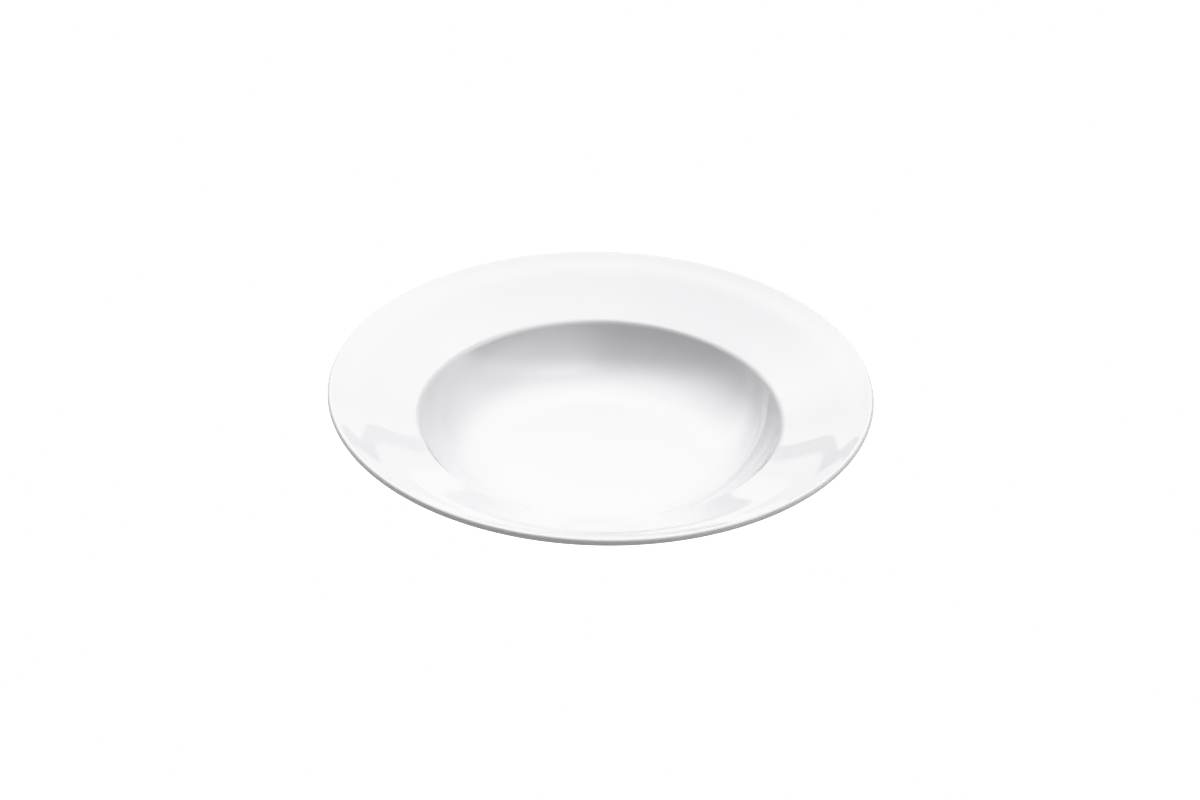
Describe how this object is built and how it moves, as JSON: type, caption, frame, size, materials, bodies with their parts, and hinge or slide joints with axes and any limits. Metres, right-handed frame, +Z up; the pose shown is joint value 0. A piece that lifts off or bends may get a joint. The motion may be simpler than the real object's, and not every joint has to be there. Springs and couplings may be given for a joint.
{
  "type": "pasta bowl",
  "caption": "Round white glazed porcelain pasta bowl with a broad sloping rim, a well that curves down to a flat floor and a low foot ring, for serving pasta or soup.",
  "frame": {"origin": "centre of the foot ring, on the plane it stands on", "axes": "+Z up along the bowl's axis; +X and +Y are free, since the bowl is round"},
  "size_m": [0.28, 0.28, 0.052],
  "materials": {
    "porcelain": "bare fired porcelain, fine matte grain",
    "glaze": "clear gloss glaze over white porcelain"
  },
  "bodies": {
    "root": {"porcelain_body": "porcelain", "glaze_coat": "glaze", "base_glaze": "glaze"}
  },
  "joints": []
}
